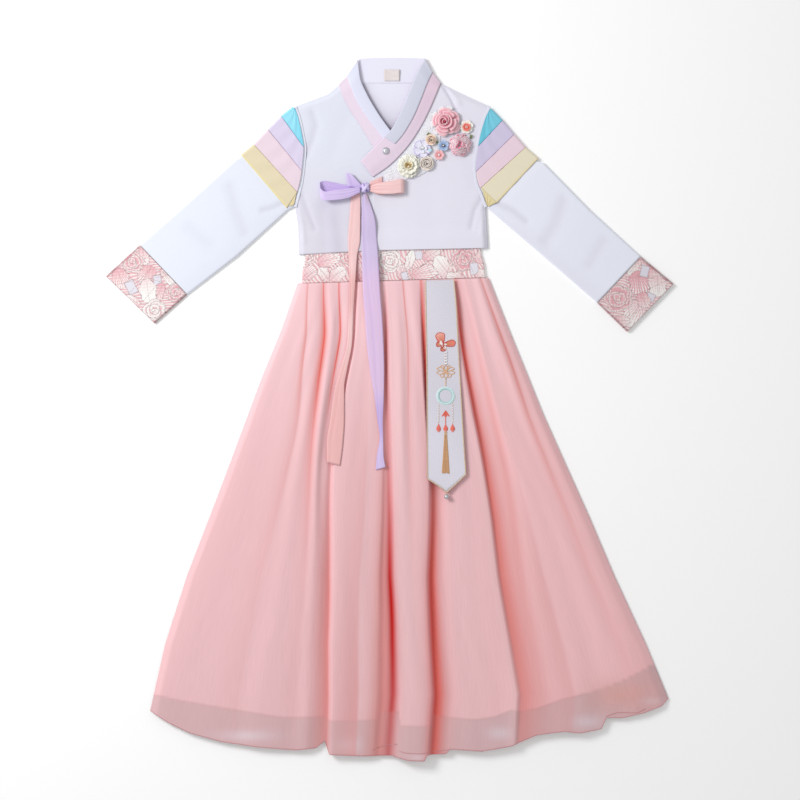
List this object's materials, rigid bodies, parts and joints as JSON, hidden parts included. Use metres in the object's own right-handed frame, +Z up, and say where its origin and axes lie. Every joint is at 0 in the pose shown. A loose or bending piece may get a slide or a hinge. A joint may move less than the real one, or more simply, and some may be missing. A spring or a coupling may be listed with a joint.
{
  "type": "korean hanbok",
  "caption": "Child's hanbok laid flat: short wrap jacket with rainbow upper sleeves and a ribbon bow over a long pleated skirt with a hanging belt panel.",
  "frame": {"origin": "middle of the set's underside, on the surface that it lies on", "axes": "+Y from the hem to the collar, +X to the right as the front is seen, +Z up from the surface"},
  "size_m": [0.8526, 1.0554, 0.0238],
  "materials": {
    "sheer_pink": "sheer matt chiffon",
    "lining_pink": "plain smooth lining",
    "brocade": "woven rose brocade in pink, white and silver grey",
    "belt_white": "ribbed white satin with coloured embroidery",
    "gold_trim": "gold thread binding",
    "silver_bead": "polished",
    "white_cloth": "matt off-white plain weave",
    "collar_pink": "pale pink plain weave",
    "collar_white": "crisp white strip",
    "label_cloth": "blank woven tape",
    "stripe_cyan": "sheer organza",
    "stripe_lilac": "sheer organza",
    "stripe_pink": "sheer organza",
    "stripe_yellow": "sheer organza",
    "ribbon_lilac": "soft satin chiffon",
    "ribbon_peach": "soft satin chiffon",
    "lace_white": "white lace",
    "flower_pink": "folded satin petals",
    "flower_coral": "cut cloth petals",
    "flower_blue": "cut cloth petals",
    "flower_lilac": "cut cloth petals",
    "flower_cream": "rolled cloth petals",
    "leaf_green": "cut cloth"
  },
  "bodies": {
    "root": {"skirt_front": "sheer_pink", "skirt_back": "sheer_pink", "skirt_lining": "lining_pink", "waistband": "brocade", "belt_panel": "belt_white", "belt_binding": "gold_trim", "belt_bead": "silver_bead", "jacket_back": "white_cloth", "jacket_front_under": "white_cloth", "jacket_front_over": "white_cloth", "collar_back": "white_cloth", "collar_under": "collar_pink", "collar_over": "collar_pink", "collar_strip_under": "collar_white", "collar_strip_over": "collar_white", "neck_label": "label_cloth", "collar_snap": "silver_bead", "sleeve_left": "white_cloth", "sleeve_right": "white_cloth", "cuff_left": "brocade", "cuff_right": "brocade", "stripe_cyan_left": "stripe_cyan", "stripe_lilac_left": "stripe_lilac", "stripe_pink_left": "stripe_pink", "stripe_yellow_left": "stripe_yellow", "stripe_cyan_right": "stripe_cyan", "stripe_lilac_right": "stripe_lilac", "stripe_pink_right": "stripe_pink", "stripe_yellow_right": "stripe_yellow", "bow_knot": "ribbon_lilac", "bow_loop_lilac": "ribbon_lilac", "bow_loop_pink": "ribbon_peach", "bow_stub_lilac": "ribbon_lilac", "bow_stub_pink": "ribbon_peach", "bow_tail_pink": "ribbon_peach", "bow_tail_lilac": "ribbon_lilac", "lace_patch": "lace_white", "flower_rose": "flower_pink", "flower_coral": "flower_coral", "flower_carnation": "flower_pink", "flower_blue": "flower_blue", "flower_rosebud": "flower_cream", "flower_pansy": "flower_lilac", "flower_small_pink": "flower_pink", "flower_rosette": "flower_cream", "flower_ivory": "flower_cream", "leaf_1": "leaf_green", "leaf_2": "leaf_green", "leaf_3": "leaf_green"}
  },
  "joints": []
}
